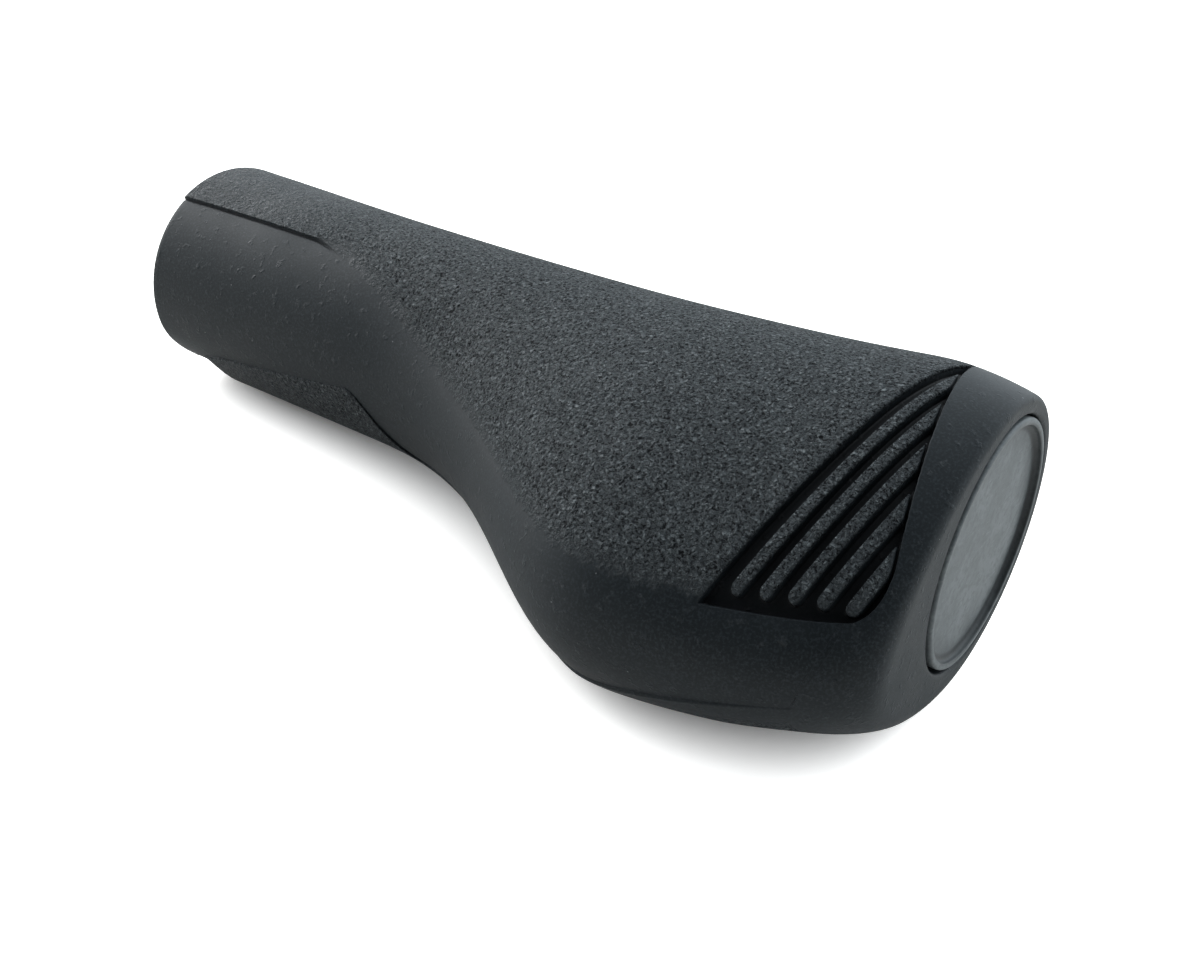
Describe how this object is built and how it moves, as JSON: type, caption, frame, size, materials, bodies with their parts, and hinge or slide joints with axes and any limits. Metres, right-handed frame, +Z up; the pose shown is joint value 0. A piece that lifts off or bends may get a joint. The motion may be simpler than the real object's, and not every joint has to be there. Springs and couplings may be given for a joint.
{
  "type": "handlebar grip",
  "caption": "Wing-shaped rubber handlebar grip with a palm rest, grained panels, a ribbed zone and a round plug in the outer end.",
  "frame": {"origin": "middle of the footprint at the lowest point, with the grip lying on its underside", "axes": "+X along the handlebar towards the outer end, palm rest towards -Y, +Z up"},
  "size_m": [0.1302, 0.0576, 0.0409],
  "materials": {
    "sleeve_rubber": "matte",
    "cap_rubber": "satin"
  },
  "bodies": {
    "root": {"grip_sleeve": "sleeve_rubber", "end_cap": "cap_rubber"}
  },
  "joints": []
}
